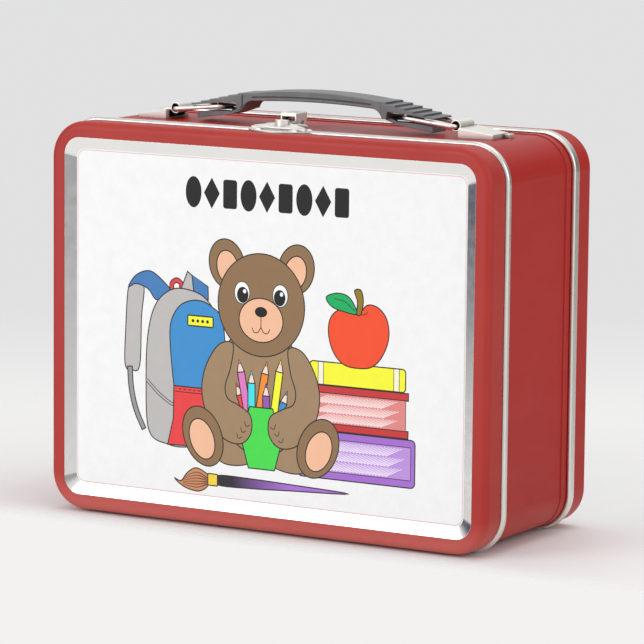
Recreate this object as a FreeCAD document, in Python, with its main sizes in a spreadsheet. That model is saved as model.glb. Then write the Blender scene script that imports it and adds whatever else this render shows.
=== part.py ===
"""Metal lunch box: two stamped pans on a rolled band, bright seam beads, hinge, latch and bail handle.

Units are millimetres. The origin is on the resting surface, below the middle of the box.
+X runs along the width, +Y from the lid to the back and +Z up.
"""
import FreeCAD, Part
import math
import os
import Sketcher

doc = FreeCAD.newDocument("lunch_box")
dims = doc.addObject("Spreadsheet::Sheet", "dims")

# The driving dimensions, in millimetres.
DRIVING = {
    # box
    "total_depth": 91.1,
    "pan_width": 213.3,
    "pan_height": 168.1,
    "pan_corner": 15.8,
    "sheet": 0.7,
    "lid_depth": 12.3,
    "back_depth": 18.3,
    "edge_round": 3.1,
    "rim_width": 216.0,
    "rim_height": 170.1,
    "rim_corner": 16.7,
    "mouth_front": 13.0,
    "mouth_bead_front": 12.64,
    "mouth_bead_width": 3.48,
    "mouth_bead_round": 1.4,
    "seam_bead_front": 72.5,
    "seam_bead_width": 4.6,
    "seam_bead_round": 0.9,
    "seam_overlap": 3.2,
    "ridge_width": 4.6,
    "ridge_height": 0.35,
    # recessed panels
    "window_width": 199.3,
    "window_height": 154.6,
    "window_corner": 7.5,
    "bevel_width": 4.9,
    "bevel_depth": 2.43,
    "panel_corner": 4.0,
    "panel_sheet": 0.6,
    "bezel_flange": 1.8,
    # hinge
    "hinge_length": 90.0,
    "knuckle_radius": 1.7,
    "hinge_pin_radius": 0.8,
    "hinge_fit": 0.05,
    "hinge_axis_height": 1.75,
    "leaf_sheet": 0.6,
    "leaf_reach": 9.5,
    "hinge_gap": 0.4,
    # handle
    "wire_radius": 0.95,
    "link_half_width": 7.2,
    "link_corner": 1.7,
    "barrel_station": 68.6,
    "barrel_height": 172.9,
    "barrel_half_length": 6.0,
    "barrel_bore": 1.9,
    "barrel_rise": 0.4,
    "barrel_sheet": 0.5,
    "crossbar_station": 44.8,
    "crossbar_height": 175.3,
    "eye_half_height": 1.2,
    "eye_end": 47.85,
    "strap_sheet": 0.6,
    "strap_width": 10.0,
    "strap_cover": 2.2,
    "strap_inset": 2.0,
    "strap_knee": 4.4,
    "strap_slope": 7.0,
    "eye_fold": 4.3,
    "grip_width": 16.0,
    "grip_top": 183.6,
    "grip_under": 179.3,
    "shoulder_station": 33.0,
    "shoulder_top": 181.65,
    "shoulder_bottom": 174.3,
    "shoulder_bend": 5.5,
    "shoulder_sole": 2.5,
    "under_dip": 1.0,
    "grip_edge": 1.3,
    "bar_inset": 0.5,
    "groove_height": 1.35,
    "groove_width": 0.55,
    "groove_depth": 0.45,
    "fork_tip": 59.3,
    "fork_nose": 0.3,
    "ridge_start": 1.5,
    "ridge_pitch": 4.6,
    "ridge_drop": 0.8,
    "fork_slope": 0.25,
        "slot_middle": 1.7,
    "slot_root": 2.1,
    "low_fork_width": 11.2,
    "low_fork_set_back": 1.7,
    "low_fork_knee": 2.4,
    "low_fork_drop": 4.7,
    "low_fork_tip": 2.5,
    "low_fork_gap": 0.3,
    # handle mounts
    "hood_inner": 71.5,
    "hood_outer": 86.6,
    "hood_half_width": 9.25,
    "hood_narrow": 2.2,
    "hood_inner_rise": 4.3,
    "hood_outer_rise": 2.1,
    "hood_edge": 0.5,
    "hood_end_wall": 1.2,
    "tongue_reach": 2.9,
    "tongue_inner": 2.5,
    "mount_sheet": 0.7,
    "mount_rivet_inset": 4.0,
    "mount_rivet_half_gap": 4.0,
    "backing_sheet": 0.8,
    "backing_margin": 3.0,
    # latch
    "pivot_back": 24.25,
    "pivot_height": 172.4,
    "latch_pin_radius": 0.8,
    "lever_front": 19.35,
    "lever_back": 28.35,
    "lever_top": 176.4,
    "lever_half_width": 3.75,
    "lever_sheet": 0.6,
    "lever_lip": 1.5,
    "cheek_foot": 3.2,
    "cheek_bend": 3.4,
    "strip_low": 1.0,
    "strip_high": 0.2,
    "strip_sheet": 0.7,
    "wing_reach": 6.4,
    "wing_drop": 1.1,
    "ear_half_gap": 2.1,
    "ear_sheet": 0.7,
    "ear_half_width": 2.6,
    "ear_bend": 2.8,
    "base_gap": 0.4,
    "base_straight": 3.0,
    "base_back": 1.5,
    "latch_rivet_station": 8.0,
    "catch_half_length": 15.0,
    "catch_front": 4.6,
    "catch_sheet": 0.6,
    "catch_lift": 170.4,
    "catch_bead_gap": 0.75,
    "catch_riser": 0.8,
    "catch_inset": 2.0,
    "catch_back_reach": 6.6,
    "catch_rivet_station": 8.7,
    "catch_rivet_back": 4.3,
    "apron_half_length": 12.5,
    "apron_half_top": 4.0,
    "apron_depth": 4.0,
    "apron_rise": 2.0,
    "apron_bulge": 1.2,
    "boss_radius": 3.1,
    "boss_front": 13.8,
    "boss_back": 15.1,
    "boss_height": 3.5,
    "hook_half_width": 1.8,
    "hook_reach": 1.6,
    "hook_sheet": 0.6,
    "hook_lip": 1.0,
    # rivets
    "rivet_radius": 1.0,
    "rivet_head_radius": 1.9,
    "rivet_head": 0.6,
}
FIRST_ROW = 1
for row, (alias, number) in enumerate(DRIVING.items(), start=FIRST_ROW):
    dims.set(f"A{row}", alias)
    dims.set(f"B{row}", str(number))
    dims.setAlias(f"B{row}", alias)
doc.recompute()


class Size:
    """A length that carries its number together with the spreadsheet formula it comes from."""

    def __init__(self, number, formula):
        self.number = number
        self.formula = formula

    def __add__(self, other):
        return join(self, "+", other)

    def __radd__(self, other):
        return join(other, "+", self)

    def __sub__(self, other):
        return join(self, "-", other)

    def __rsub__(self, other):
        return join(other, "-", self)

    def __mul__(self, other):
        return join(self, "*", other)

    def __rmul__(self, other):
        return join(other, "*", self)

    def __truediv__(self, other):
        return join(self, "/", other)

    def __neg__(self):
        return join(0, "-", self)


def join(left, sign, right):
    left, right = as_size(left), as_size(right)
    numbers = {
        "+": left.number + right.number,
        "-": left.number - right.number,
        "*": left.number * right.number,
        "/": left.number / right.number if right.number else 0.0,
    }
    return Size(numbers[sign], f"({left.formula} {sign} {right.formula})")


def as_size(value):
    return value if isinstance(value, Size) else Size(float(value), repr(float(value)))


def dim(alias):
    return Size(float(dims.get(alias)), f"dims.{alias}")


def bind(item, path, value):
    """Drive one property of an object from the spreadsheet."""
    item.setExpression(path, as_size(value).formula)


# ---------------------------------------------------------------- derived sizes

FRONT = -dim("total_depth") / 2
BACK = dim("total_depth") / 2
MID = dim("rim_height") / 2
SHEET = dim("sheet")
BAND_WIDTH = dim("pan_width") - 2 * SHEET
BAND_HEIGHT = dim("pan_height") - 2 * SHEET
BAND_CORNER = dim("pan_corner") - SHEET
BAND_TOP = MID + BAND_HEIGHT / 2
BAND_BOTTOM = MID - BAND_HEIGHT / 2
BAND_INNER_TOP = BAND_TOP - SHEET
BACKING_UNDER = BAND_INNER_TOP - dim("backing_sheet")
LID_TOP = MID + dim("pan_height") / 2
LID_BOTTOM = MID - dim("pan_height") / 2
HINGE_Y = FRONT + dim("mouth_bead_front") + dim("mouth_bead_width") / 2
LINK_RISE = dim("crossbar_height") - dim("barrel_height")
LINK_RUN = dim("barrel_station") - dim("crossbar_station")
LINK_LENGTH = math.hypot(LINK_RISE.number, LINK_RUN.number)
LINK_ANGLE = math.degrees(math.atan2(LINK_RISE.number, LINK_RUN.number))


# ---------------------------------------------------------------- building blocks

def new_body(label):
    body = doc.addObject("PartDesign::Body", label)
    body.Label = label
    return body


def place(item, x=0, y=0, z=0, turn=0.0, axis=(0, 0, 1)):
    """Give a sub-part its placement, with the position driven from the spreadsheet."""
    base = FreeCAD.Vector(*(as_size(value).number for value in (x, y, z)))
    item.Placement = FreeCAD.Placement(base, FreeCAD.Rotation(FreeCAD.Vector(*axis), turn))
    for letter, value in zip("xyz", (x, y, z)):
        bind(item, f"Placement.Base.{letter}", value)
    return item


def new_sketch(body, plane, offset=0):
    """Start a sketch on one of the body's own origin planes, moved along the plane's normal."""
    sketch = body.newObject("Sketcher::SketchObject", f"{body.Name}_sketch")
    support = next(item for item in body.Origin.OriginFeatures if item.Role == plane)
    sketch.AttachmentSupport = [(support, "")]
    sketch.MapMode = "FlatFace"
    bind(sketch, "AttachmentOffset.Base.z", offset)
    return sketch


def fix_point(sketch, edge, end, x, y):
    """Hold one end of an edge at a place given by spreadsheet formulas."""
    for kind, value in (("DistanceX", x), ("DistanceY", y)):
        size = as_size(value)
        index = sketch.addConstraint(Sketcher.Constraint(kind, -1, 1, edge, end, size.number))
        sketch.setExpression(f"Constraints[{index}]", size.formula)


def set_radius(sketch, edge, radius):
    size = as_size(radius)
    index = sketch.addConstraint(Sketcher.Constraint("Radius", edge, size.number))
    sketch.setExpression(f"Constraints[{index}]", size.formula)


def outline(sketch, points, arcs=()):
    """Draw a closed outline. arcs maps an edge's number to (radius, +1 or -1 for its centre's side)."""
    arcs = dict(arcs)
    spots = [FreeCAD.Vector(as_size(x).number, as_size(y).number, 0) for x, y in points]
    first = sketch.GeometryCount
    count = len(points)
    starts = []
    for number, start in enumerate(spots):
        end = spots[(number + 1) % count]
        if number in arcs:
            radius, side = arcs[number]
            edge, start_end = arc_between(start, end, as_size(radius).number, side)
            starts.append(start_end)
        else:
            edge = Part.LineSegment(start, end)
            starts.append((1, 2))
        sketch.addGeometry(edge, False)
    for number in range(count):
        after = (number + 1) % count
        sketch.addConstraint(Sketcher.Constraint(
            "Coincident", first + number, starts[number][1], first + after, starts[after][0]))
        fix_point(sketch, first + number, starts[number][0], *points[number])
    for number, (radius, _) in arcs.items():
        set_radius(sketch, first + number, radius)
    return sketch


def arc_between(start, end, radius, side):
    """The shorter arc between two points, and which of its ends is the start."""
    chord = end - start
    middle = (start + end) / 2
    across = FreeCAD.Vector(-chord.y, chord.x, 0).normalize()
    reach = math.sqrt(max(radius ** 2 - (chord.Length / 2) ** 2, 0.0))
    centre = middle + across * (reach * side)
    angles = [math.atan2(spot.y - centre.y, spot.x - centre.x) for spot in (start, end)]
    circle = Part.Circle(centre, FreeCAD.Vector(0, 0, 1), radius)
    if side > 0:
        return Part.ArcOfCircle(circle, angles[0], angles[1]), (1, 2)
    return Part.ArcOfCircle(circle, angles[1], angles[0]), (2, 1)


def rounded_rect(sketch, width, height, corner):
    """Draw a rounded rectangle about the sketch's origin."""
    half_w, half_h = as_size(width) / 2, as_size(height) / 2
    flat_w, flat_h = half_w - corner, half_h - corner
    points = [
        (flat_w, -half_h), (half_w, -flat_h), (half_w, flat_h), (flat_w, half_h),
        (-flat_w, half_h), (-half_w, flat_h), (-half_w, -flat_h), (-flat_w, -half_h),
    ]
    return outline(sketch, points, {number: (corner, 1) for number in (0, 2, 4, 6)})


def rectangle(sketch, left, low, right, high):
    return outline(sketch, [(left, low), (right, low), (right, high), (left, high)])


def circle(sketch, x, y, radius):
    numbers = [as_size(value).number for value in (x, y, radius)]
    centre = FreeCAD.Vector(numbers[0], numbers[1], 0)
    edge = sketch.addGeometry(Part.Circle(centre, FreeCAD.Vector(0, 0, 1), numbers[2]), False)
    fix_point(sketch, edge, 3, x, y)
    set_radius(sketch, edge, radius)


def extrude(kind, body, sketch, length=None, back=False, middle=False):
    """Pad or pocket a sketch by a length, or right through where none is given."""
    feature = body.newObject(f"PartDesign::{kind}", f"{body.Name}_{kind.lower()}")
    feature.Profile = sketch
    feature.Reversed = back
    if middle:
        feature.SideType = "Symmetric"
    if length is None:
        feature.Type = "ThroughAll"
    else:
        bind(feature, "Length", length)
    doc.recompute()
    return feature


def pad(body, sketch, length, back=False, middle=False):
    return extrude("Pad", body, sketch, length, back, middle)


def pocket(body, sketch, length=None, back=False, middle=False):
    return extrude("Pocket", body, sketch, length, back, middle)


def round_edges(body, radius, chosen):
    """Fillet those edges of the body's last feature that the test picks."""
    last = body.Tip
    names = [f"Edge{number}" for number, edge in enumerate(last.Shape.Edges, start=1) if chosen(edge)]
    fillet = body.newObject("PartDesign::Fillet", f"{body.Name}_fillet")
    fillet.Base = (last, names)
    bind(fillet, "Radius", radius)
    doc.recompute()
    return fillet


def lies_at(edge, letter, level, slack=1e-4):
    """True where a whole edge lies in one plane square to the axis."""
    box = edge.BoundBox
    low, high = {"x": (box.XMin, box.XMax), "y": (box.YMin, box.YMax), "z": (box.ZMin, box.ZMax)}[letter]
    return abs(low - level) < slack and abs(high - level) < slack


def vertical_holes(body, spots, up):
    """Drill rivet holes through the top or the bottom wall, from the middle of the body."""
    sketch = new_sketch(body, "XY_Plane")
    for x, y in spots:
        circle(sketch, x, y, dim("rivet_radius"))
    return pocket(body, sketch, back=up)


def cylinder(x, y, z, radius, height):
    item = doc.addObject("Part::Cylinder", "round")
    bind(item, "Radius", radius)
    bind(item, "Height", height)
    return place(item, x, y, z)


def dome(x, y, z, height, up):
    """A low conical rivet head whose wide face is at z."""
    item = doc.addObject("Part::Cone", "head")
    wide, narrow = dim("rivet_head_radius"), dim("rivet_head_radius") * 0.6
    bind(item, "Radius1", wide if up else narrow)
    bind(item, "Radius2", narrow if up else wide)
    bind(item, "Height", height)
    return place(item, x, y, z if up else z - height)


def rivets(label, spots, low, high):
    """One node of upright rivets whose two heads bear on the stack from low to high."""
    pieces = []
    for x, y in spots:
        pieces.append(cylinder(x, y, low, dim("rivet_radius"), high - low))
        pieces.append(dome(x, y, high, dim("rivet_head"), True))
        pieces.append(dome(x, y, low, dim("rivet_head"), False))
    node = doc.addObject("Part::MultiFuse", label)
    node.Label = label
    node.Shapes = pieces
    return node


# ---------------------------------------------------------------- where the rivets go

HINGE_ROW = [-0.36, -0.12, 0.12, 0.36]
LEAF_HOLE = dim("leaf_reach") * 0.72
LID_HINGE_SPOTS = [(dim("hinge_length") * part, HINGE_Y - LEAF_HOLE) for part in HINGE_ROW]
BODY_HINGE_SPOTS = [(dim("hinge_length") * part, HINGE_Y + LEAF_HOLE) for part in HINGE_ROW]
MOUNT_RIVET_X = dim("hood_inner") + dim("mount_rivet_inset")
MOUNT_RIVET_Y = dim("mount_rivet_half_gap")
MOUNT_SPOTS = {side: [(MOUNT_RIVET_X * side, -MOUNT_RIVET_Y), (MOUNT_RIVET_X * side, MOUNT_RIVET_Y)]
               for side in (-1, 1)}
LATCH_RIVET_Y = FRONT + dim("lever_front") + dim("base_straight")
LATCH_SPOTS = [(dim("latch_rivet_station") * side, LATCH_RIVET_Y) for side in (-1, 1)]
CATCH_RIVET_Y = FRONT + dim("catch_front") + dim("catch_rivet_back")
CATCH_SPOTS = [(dim("catch_rivet_station") * side, CATCH_RIVET_Y) for side in (-1, 1)]


def local(spots, front, turned=False):
    """Hole places in a pan's own frame, whose y starts at its outer face."""
    sign = -1 if turned else 1
    return [(x * sign, (y - front) * sign) for x, y in spots]


# ---------------------------------------------------------------- box shell

def pan(label, depth, turned=False):
    """A stamped pan: flat face with a panel window, rounded edge and a skirt."""
    body = new_body(label)
    pad(body, rounded_rect(new_sketch(body, "XZ_Plane"), dim("pan_width"), dim("pan_height"),
                           dim("pan_corner")), depth, back=True)
    inside = new_sketch(body, "XZ_Plane", -SHEET)
    rounded_rect(inside, BAND_WIDTH, BAND_HEIGHT, BAND_CORNER)
    pocket(body, inside)
    round_edges(body, dim("edge_round") - SHEET, lambda edge: lies_at(edge, "y", SHEET.number))
    round_edges(body, dim("edge_round"), lambda edge: lies_at(edge, "y", 0))
    window = rounded_rect(new_sketch(body, "XZ_Plane"), dim("window_width"), dim("window_height"),
                          dim("window_corner"))
    pocket(body, window, SHEET * 2)
    return place(body, 0, BACK if turned else FRONT, MID, 180.0 if turned else 0.0)


def lid_shell():
    body = pan("lid_shell", dim("lid_depth"))
    vertical_holes(body, local(CATCH_SPOTS, FRONT), True)
    vertical_holes(body, local(LID_HINGE_SPOTS, FRONT), False)
    return body


def back_shell():
    return pan("back_shell", dim("back_depth"), turned=True)


def bezel(label, turned=False):
    """The sloping bright frame between a pan's face and its sunk panel."""
    body = new_body(label)
    lip = 0.1
    bevel = dim("bevel_width") * 2
    flange = dim("bezel_flange") * 2
    thickness = dim("bevel_depth") + dim("panel_sheet") - SHEET
    pad(body, rounded_rect(new_sketch(body, "XZ_Plane", -SHEET), dim("window_width") + flange,
                           dim("window_height") + flange, dim("window_corner")), thickness, back=True)
    step = new_sketch(body, "XZ_Plane", -lip)
    pad(body, rounded_rect(step, dim("window_width"), dim("window_height"), dim("window_corner")),
        SHEET, back=True)
    wide = rounded_rect(new_sketch(body, "XZ_Plane", -lip), dim("window_width") - 2 * lip,
                        dim("window_height") - 2 * lip, dim("window_corner") - lip)
    narrow = rounded_rect(new_sketch(body, "XZ_Plane", -dim("bevel_depth")), dim("window_width") - bevel,
                          dim("window_height") - bevel, dim("panel_corner"))
    slope = body.newObject("PartDesign::SubtractiveLoft", f"{label}_slope")
    slope.Profile = wide
    slope.Sections = [narrow]
    slope.Ruled = True
    doc.recompute()
    seat = rounded_rect(new_sketch(body, "XZ_Plane", -dim("bevel_depth")),
                        dim("window_width") - bevel + flange, dim("window_height") - bevel + flange,
                        dim("panel_corner"))
    pocket(body, seat)
    return place(body, 0, BACK if turned else FRONT, MID, 180.0 if turned else 0.0)


def panel(label, turned=False):
    """The flat panel that sits in the bezel's seat."""
    body = new_body(label)
    grow = (dim("bezel_flange") - dim("bevel_width")) * 2
    pad(body, rounded_rect(new_sketch(body, "XZ_Plane", -dim("bevel_depth")), dim("window_width") + grow,
                           dim("window_height") + grow, dim("panel_corner")), dim("panel_sheet"), back=True)
    return place(body, 0, BACK if turned else FRONT, MID, 180.0 if turned else 0.0)


def ring(body, start, length, outer, inner):
    """Pad a rounded-rectangle ring that runs from start towards +Y."""
    sketch = new_sketch(body, "XZ_Plane", -as_size(start))
    rounded_rect(sketch, *outer)
    rounded_rect(sketch, *inner)
    return pad(body, sketch, length, back=True)


PAN_OUTLINE = (dim("pan_width"), dim("pan_height"), dim("pan_corner"))
BAND_OUTLINE = (BAND_WIDTH, BAND_HEIGHT, BAND_CORNER)
RIM_OUTLINE = (dim("rim_width"), dim("rim_height"), dim("rim_corner"))


def body_band():
    """The rolled band, with a low stiffening ridge ahead of the back seam and a notch for the hinge."""
    body = new_body("body_band")
    length = dim("seam_bead_front") + dim("seam_overlap") - dim("mouth_front")
    inner = (BAND_WIDTH - 2 * SHEET, BAND_HEIGHT - 2 * SHEET, BAND_CORNER - SHEET)
    ring(body, dim("mouth_front"), length, BAND_OUTLINE, inner)
    grow = dim("ridge_height") * 2
    ridge = (BAND_WIDTH + grow, BAND_HEIGHT + grow, BAND_CORNER + dim("ridge_height"))
    ring(body, dim("seam_bead_front") - dim("ridge_width") - 0.2, dim("ridge_width"), ridge, inner)
    place(body, 0, FRONT, MID)
    notch = new_sketch(body, "XY_Plane", -MID)
    half = dim("hinge_length") / 2 + dim("hinge_gap")
    back_edge = HINGE_Y - FRONT + dim("knuckle_radius") + dim("hinge_gap")
    rectangle(notch, -half, 0, half, back_edge)
    pocket(body, notch, dim("rim_corner") / 2, back=True)
    tops = LATCH_SPOTS + MOUNT_SPOTS[-1] + MOUNT_SPOTS[1]
    vertical_holes(body, local(tops, FRONT), True)
    vertical_holes(body, local(BODY_HINGE_SPOTS, FRONT), False)
    return body


def bead(label, start, width, radius, inner):
    """A half-round bright bead round the box."""
    body = new_body(label)
    ring(body, start, width, RIM_OUTLINE, inner)
    edge_low, edge_high = start.number, start.number + width.number
    inner_half = inner[0].number / 2 + 0.2
    round_edges(body, radius, lambda edge: (
        (lies_at(edge, "y", edge_low) or lies_at(edge, "y", edge_high)) and outside(edge, inner_half)))
    return place(body, 0, FRONT, MID)


def outside(edge, inner_half):
    """True for the edges of a ring's outer outline, told by how far they reach from the axis."""
    box = edge.BoundBox
    reach_x = max(abs(box.XMin), abs(box.XMax))
    reach_z = max(abs(box.ZMin), abs(box.ZMax))
    outer_top = dim("rim_height").number / 2 - 0.2
    return reach_x > inner_half or reach_z > outer_top


def mouth_bead():
    """The bead round the mouth, cut away where the hinge knuckles lie."""
    body = bead("mouth_bead", dim("mouth_bead_front"), dim("mouth_bead_width"), dim("mouth_bead_round"),
                BAND_OUTLINE)
    notch = new_sketch(body, "XY_Plane", -MID)
    half = dim("hinge_length") / 2 + dim("hinge_gap")
    rectangle(notch, -half, 0, half, dim("mouth_bead_front") + dim("mouth_bead_width") + 1)
    pocket(body, notch, dim("rim_corner") / 2, back=True)
    return body


def seam_bead():
    return bead("seam_bead", dim("seam_bead_front"), dim("seam_bead_width"), dim("seam_bead_round"),
                PAN_OUTLINE)


# ---------------------------------------------------------------- hinge

KNUCKLES = 5


def hinge_leaf(label, wall, side, first):
    """A leaf on the inside of the bottom wall, with every second knuckle. side is -1 for the lid."""
    body = new_body(label)
    half = dim("hinge_length") / 2
    radius = dim("knuckle_radius")
    near = (radius + dim("hinge_gap")) * side
    far = dim("leaf_reach") * side
    rise = wall - dim("hinge_axis_height")
    plate = new_sketch(body, "XY_Plane", rise)
    low, high = (near, far) if side > 0 else (far, near)
    rectangle(plate, -half, low, half, high)
    pad(body, plate, dim("leaf_sheet"))
    pitch = dim("hinge_length") / KNUCKLES
    gap = dim("hinge_gap") / 2
    for number in range(first, KNUCKLES, 2):
        start = -half + pitch * number + gap
        tab = new_sketch(body, "XY_Plane", rise)
        inner = radius * 0.6 * side
        low, high = (inner, near) if side > 0 else (near, inner)
        rectangle(tab, start, low, start + pitch - 2 * gap, high)
        pad(body, tab, dim("leaf_sheet"))
        knuckle = new_sketch(body, "YZ_Plane", start)
        circle(knuckle, 0, 0, radius)
        pad(body, knuckle, pitch - 2 * gap)
    bore = new_sketch(body, "YZ_Plane", -half - 1)
    circle(bore, 0, 0, dim("hinge_pin_radius") + dim("hinge_fit"))
    pocket(body, bore, back=True)
    holes = new_sketch(body, "XY_Plane", rise)
    for part in HINGE_ROW:
        circle(holes, dim("hinge_length") * part, LEAF_HOLE * side, dim("rivet_radius"))
    pocket(body, holes, dim("leaf_sheet"), back=True)
    return place(body, 0, HINGE_Y, dim("hinge_axis_height"))


def hinge_pin():
    body = new_body("hinge_pin")
    section = new_sketch(body, "YZ_Plane")
    circle(section, 0, 0, dim("hinge_pin_radius"))
    pad(body, section, dim("hinge_length"), middle=True)
    return place(body, 0, HINGE_Y, dim("hinge_axis_height"))


# ---------------------------------------------------------------- handle

RIDGES = 6


def grip_blank():
    """The moulded grip: arched bar, shoulders, and at each end a stepped upper fork over a lower one."""
    body = new_body("grip_blank")
    shoulder, top = dim("shoulder_station"), dim("shoulder_top")
    slope, axis = dim("fork_slope"), dim("crossbar_height")
    first_ridge = shoulder - dim("ridge_start")
    inner_bend = shoulder + 1 - dim("shoulder_bend") + 0.5
    right = [(first_ridge, top)]
    level = top
    for number in range(1, RIDGES):
        station = first_ridge + dim("ridge_pitch") * number
        right.append((station, level - slope))
        level = level - slope - dim("ridge_drop")
        right.append((station, level))
    right += [
        (dim("fork_tip") - 1, level - slope),
        (dim("fork_tip"), level - slope - dim("fork_nose")),
        (dim("fork_tip") - 0.4, axis),
        (dim("crossbar_station") - 0.8, axis + dim("slot_middle")),
        (shoulder + 4, axis + dim("slot_root")),
        (shoulder + 1 + dim("shoulder_sole"), dim("shoulder_bottom")),
        (shoulder + 1, dim("shoulder_bottom")),
        (inner_bend, dim("grip_under") - dim("under_dip")),
    ]
    points = [(-x, z) for x, z in reversed(right)]
    points += right
    bend = (dim("shoulder_bend"), 1)
    arcs = {
        0: bend,
        len(right) - 1: (bend_radius(first_ridge, dim("grip_top") - top), -1),
        2 * len(right) - 2: bend,
        2 * len(right) - 1: (bend_radius(inner_bend, dim("under_dip")), 1),
    }
    profile = outline(new_sketch(body, "XZ_Plane"), points, arcs)
    pad(body, profile, dim("grip_width"), middle=True)
    half = dim("grip_width") / 2
    round_edges(body, dim("grip_edge"), lambda edge: (
        (lies_at(edge, "y", half.number) or lies_at(edge, "y", -half.number)) and edge.Length > 50))
    flank = new_sketch(body, "XY_Plane")
    for inner, outer in ((half - dim("bar_inset"), half + 1), (-half - 1, dim("bar_inset") - half)):
        rectangle(flank, -shoulder - 1, inner, shoulder + 1, outer)
    pocket(body, flank, back=True)
    for side in (-1, 1):
        side_groove(body, inner_bend, side)
        pad(body, low_fork(body, side), dim("low_fork_width"), middle=True)
    return body


def side_groove(body, half_span, side):
    """Cut the shallow groove that runs along one flank of the bar, just above its underside."""
    flank = dim("grip_width") / 2 - dim("bar_inset")
    groove = new_sketch(body, "XZ_Plane", flank * side)
    low = dim("grip_under") - dim("under_dip") + dim("groove_height")
    high = low + dim("groove_width")
    radius = bend_radius(half_span, dim("under_dip"))
    ends = [(half_span, low), (-half_span, low), (-half_span, high), (half_span, high)]
    outline(groove, ends, {0: (radius, 1), 2: (radius, -1)})
    pocket(body, groove, dim("groove_depth") * 2, middle=True)


def bend_radius(half_span, rise):
    """The radius of a shallow arch of the given half span and rise."""
    half, height = as_size(half_span), as_size(rise)
    return (half * half + height * height) / (height * 2)


def low_fork(body, side):
    """The plain lower fork under the link, narrower than the link's opening."""
    shoulder, bottom = dim("shoulder_station"), dim("shoulder_bottom")
    tip = dim("fork_tip") - dim("low_fork_set_back")
    low = bottom - dim("low_fork_drop")
    leaf_under = dim("crossbar_height") - dim("eye_half_height") - dim("strap_sheet")
    points = [
        (shoulder + 1, bottom),
        (shoulder + 8, bottom - dim("low_fork_knee")),
        (tip, low),
        (tip, low + dim("low_fork_tip")),
        (dim("eye_end") + 2, leaf_under - dim("low_fork_gap")),
        (dim("crossbar_station") - 4, leaf_under - dim("low_fork_gap")),
        (shoulder + 3, bottom + 1),
    ]
    return outline(new_sketch(body, "XZ_Plane"), flip(points, side))


def strap():
    """The flat steel core, folded into a long eye at each end to hold a link's crossbar."""
    body = new_body("handle_core_strap")
    half, sheet = dim("eye_half_height"), dim("strap_sheet")
    axis, bend = dim("crossbar_height"), dim("eye_end") - half
    crown = dim("grip_under") + dim("strap_cover")
    knee = (dim("shoulder_station") - dim("strap_inset"), axis + dim("strap_knee"))
    eye_start = knee[0] + dim("strap_slope")
    fold_start = dim("crossbar_station") - dim("eye_fold")
    upper = [
        (0, crown), knee, (eye_start, axis + half + sheet), (bend, axis + half + sheet),
        (bend, axis - half - sheet), (fold_start, axis - half - sheet), (fold_start, axis - half),
        (bend, axis - half), (bend, axis + half), (eye_start, axis + half),
        (knee[0], knee[1] - sheet), (0, crown - sheet),
    ]
    left = [(-x, z) for x, z in reversed(upper[1:-1])]
    points = upper + left
    count = len(upper)
    arcs = {
        3: (half + sheet, -1),
        7: (half, 1),
        count + 2: (half, 1),
        count + 6: (half + sheet, -1),
    }
    profile = outline(new_sketch(body, "XZ_Plane"), points, arcs)
    pad(body, profile, dim("strap_width"), middle=True)
    return place(body)


def handle_grip(core):
    """The grip with the channel that the steel core fills."""
    node = doc.addObject("Part::Cut", "handle_grip")
    node.Label = "handle_grip"
    node.Base = grip_blank()
    node.Tool = core
    return place(node)


def link(label, side):
    """A rectangular wire ring from a mount's barrel to the handle's eye, seen in its own plane."""
    body = new_body(label)
    half = dim("link_half_width")
    corner = dim("link_corner")
    length = LINK_LENGTH
    path = new_sketch(body, "XY_Plane")
    inner, outer = (corner, length - corner.number)
    points = [
        (inner, -half), (outer, -half), (length, corner - half), (length, half - corner),
        (outer, half), (inner, half), (0, half - corner), (0, corner - half),
    ]
    if side > 0:
        points = [(-x, -y) for x, y in points]
    outline(path, points, {number: (corner, 1) for number in (1, 3, 5, 7)})
    section = new_sketch(body, "YZ_Plane", -side * length / 2)
    circle(section, half, 0, dim("wire_radius"))
    sweep = body.newObject("PartDesign::AdditivePipe", f"{label}_sweep")
    sweep.Profile = section
    sweep.Spine = (path, [])
    doc.recompute()
    return place(body, dim("barrel_station") * side, 0, dim("barrel_height"), LINK_ANGLE * side, (0, 1, 0))


def mount(label, side):
    """A stamped handle mount: a hollow tapering hood, open inwards, and a curled barrel for the link."""
    body = new_body(label)
    sheet = dim("mount_sheet")
    wide = dim("hood_half_width")
    slim = wide - dim("hood_narrow")
    inner, outer = dim("hood_inner"), dim("hood_outer")
    inner_rise, outer_rise = dim("hood_inner_rise"), dim("hood_outer_rise")
    plan = [(inner, -wide), (outer, -slim), (outer, slim), (inner, wide)]
    pad(body, outline(new_sketch(body, "XY_Plane"), flip(plan, side)), inner_rise)
    over = [(inner, inner_rise), (outer, outer_rise), (outer, inner_rise + 1), (inner, inner_rise + 1)]
    pocket(body, outline(new_sketch(body, "XZ_Plane"), flip(over, side)), middle=True)
    round_edges(body, dim("hood_edge"), slopes)
    end = outer - dim("hood_end_wall")
    start = inner - 0.5
    hollow = [(start, sheet), (end, sheet), (end, outer_rise - sheet), (start, inner_rise - sheet)]
    pocket(body, outline(new_sketch(body, "XZ_Plane"), flip(hollow, side)), (slim - sheet) * 2, middle=True)
    add_barrel(body, side)
    tongue_end, tongue_side = outer + dim("tongue_reach"), slim - 0.3
    ear = [(outer - 0.5, dim("tongue_inner")), (tongue_end, dim("tongue_inner")),
           (tongue_end, tongue_side), (outer - 0.5, tongue_side)]
    pad(body, outline(new_sketch(body, "XY_Plane"), flip(ear, side)), outer_rise - 0.3)
    holes = new_sketch(body, "XY_Plane")
    for x, y in MOUNT_SPOTS[side]:
        circle(holes, x, y, dim("rivet_radius"))
    pocket(body, holes, sheet, back=True)
    return place(body, 0, 0, BAND_TOP)


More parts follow.
